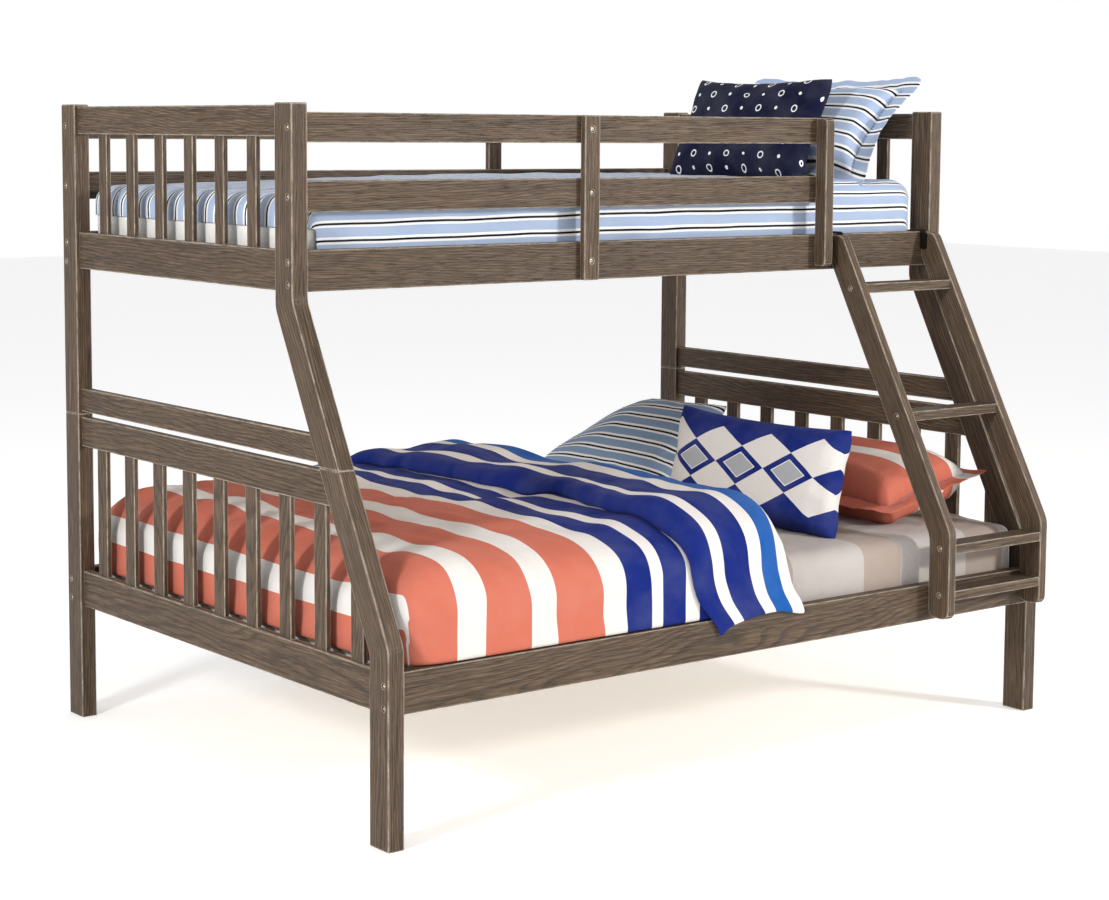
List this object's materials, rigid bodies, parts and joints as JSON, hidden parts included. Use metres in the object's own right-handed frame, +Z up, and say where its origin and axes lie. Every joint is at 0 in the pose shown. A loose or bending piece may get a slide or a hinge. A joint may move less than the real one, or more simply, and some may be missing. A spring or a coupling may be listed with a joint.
{
  "type": "bunk bed",
  "caption": "Timber bunk bed, narrow upper bunk over a wide lower one, with slanted front posts, slatted ends, guard rails, a slanted ladder and made-up bedding.",
  "frame": {"origin": "on the floor under the middle of the whole footprint, ladder foot and rear guard braces included", "axes": "+X along the bed from the foot to the head, +Y from the ladder side to the wall side, +Z up"},
  "size_m": [2.02, 1.5346, 1.6764],
  "materials": {
    "frame_wood": "wire-brushed grey-brown oak stain, satin",
    "deck_wood": "plain sanded softwood",
    "steel": "dark blackened steel",
    "sheet_beige": "woven",
    "duvet_cotton": "woven",
    "coral_cotton": "woven",
    "grey_blue_cotton": "woven",
    "royal_blue_cotton": "woven",
    "sheet_light_blue": "woven",
    "light_blue_cotton": "woven",
    "navy_cotton": "woven"
  },
  "bodies": {
    "lower_bunk": {"lower_post_front_foot": "frame_wood", "lower_post_front_head": "frame_wood", "lower_post_back_foot": "frame_wood", "lower_post_back_head": "frame_wood", "seam_pin_front_foot": "steel", "seam_pin_front_head": "steel", "seam_pin_back_foot": "steel", "seam_pin_back_head": "steel", "lower_end_rail_top_foot": "frame_wood", "lower_end_rail_top_head": "frame_wood", "lower_end_rail_low_foot": "frame_wood", "lower_end_rail_low_head": "frame_wood", "lower_slats_foot": "frame_wood", "lower_slats_head": "frame_wood", "lower_side_rail_front": "frame_wood", "lower_side_rail_back": "frame_wood", "lower_slat_deck": "deck_wood"},
    "upper_bunk": {"upper_post_front_foot": "frame_wood", "upper_post_front_head": "frame_wood", "upper_post_back_foot": "frame_wood", "upper_post_back_head": "frame_wood", "upper_end_rail_top_foot": "frame_wood", "upper_end_rail_top_head": "frame_wood", "upper_end_rail_middle_foot": "frame_wood", "upper_end_rail_middle_head": "frame_wood", "upper_end_rail_low_foot": "frame_wood", "upper_end_rail_low_head": "frame_wood", "upper_slats_foot": "frame_wood", "upper_slats_head": "frame_wood", "upper_side_rail_front": "frame_wood", "upper_side_rail_back": "frame_wood", "upper_slat_deck": "deck_wood", "guard_rail_front_low": "frame_wood", "guard_rail_front_top": "frame_wood", "guard_rail_back_low": "frame_wood", "guard_rail_back_top": "frame_wood", "guard_brace_front": "frame_wood", "guard_brace_front_end": "frame_wood", "guard_brace_back_foot": "frame_wood", "guard_brace_back_head": "frame_wood"},
    "ladder": {"ladder_stile_foot": "frame_wood", "ladder_stile_head": "frame_wood", "ladder_rung_1": "frame_wood", "ladder_rung_2": "frame_wood", "ladder_rung_3": "frame_wood", "ladder_rung_4": "frame_wood", "ladder_hook_foot": "steel", "ladder_hook_head": "steel"},
    "lower_bedding": {"lower_mattress": "sheet_beige", "duvet": "duvet_cotton", "lower_sham_front": "coral_cotton", "lower_sham_back": "coral_cotton", "lower_striped_pillow": "grey_blue_cotton", "lower_lattice_pillow": "royal_blue_cotton"},
    "upper_bedding": {"upper_mattress": "sheet_light_blue", "upper_sham": "light_blue_cotton", "upper_cushion": "navy_cotton"}
  },
  "joints": [
    {"name": "upper_bunk_lift", "type": "slide", "parent": "lower_bunk", "child": "upper_bunk", "axis": [0, 0, 1], "range_m": [0, 0.08]},
    {"name": "ladder_lift", "type": "slide", "parent": "upper_bunk", "child": "ladder", "axis": [0, 0, 1], "range_m": [0, 0.06]},
    {"name": "upper_bedding_lift", "type": "slide", "parent": "upper_bunk", "child": "upper_bedding", "axis": [0, 0, 1], "range_m": [0, 0.37]},
    {"name": "lower_bedding_lift", "type": "slide", "parent": "lower_bunk", "child": "lower_bedding", "axis": [0, 0, 1], "range_m": [0, 0.07]}
  ]
}
